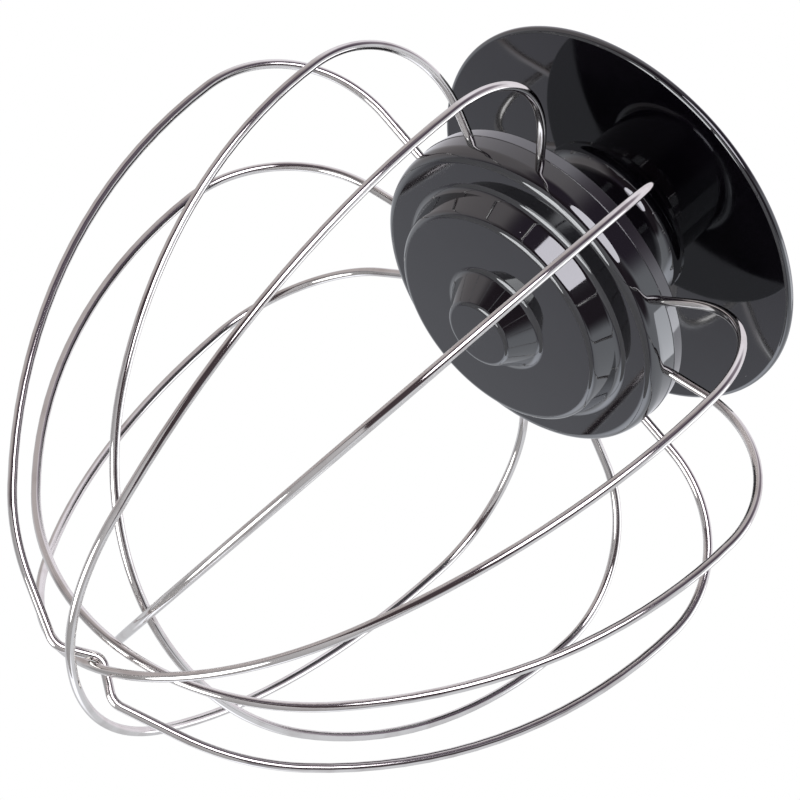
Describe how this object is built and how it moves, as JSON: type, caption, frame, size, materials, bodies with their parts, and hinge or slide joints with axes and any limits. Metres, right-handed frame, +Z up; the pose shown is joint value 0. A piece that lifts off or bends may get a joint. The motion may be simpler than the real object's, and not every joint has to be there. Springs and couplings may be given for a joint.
{
  "type": "stand mixer wire whisk",
  "caption": "Wire whisk for a stand mixer: nested loops of spring wire held in a round moulded hub, with a neck, a splash disc and a steel drive socket.",
  "frame": {"origin": "centre of the mouth of the drive socket", "axes": "+Z up along the mixer's shaft, out of the socket; +X and +Y across it, +X in the plane of the notched loop"},
  "size_m": [0.1381, 0.1369, 0.1688],
  "materials": {
    "hub_plastic": "glossy black moulding with a slight purple cast",
    "spring_wire": "polished stainless spring wire",
    "socket_steel": "turned stainless steel"
  },
  "bodies": {
    "root": {"hub_base": "hub_plastic", "hub_cover": "hub_plastic", "splash_disc": "hub_plastic", "drive_socket": "socket_steel", "wire_hooked": "spring_wire", "wire_outer": "spring_wire", "wire_side": "spring_wire", "wire_caught": "spring_wire", "wire_middle": "spring_wire", "wire_inner": "spring_wire"}
  },
  "joints": []
}
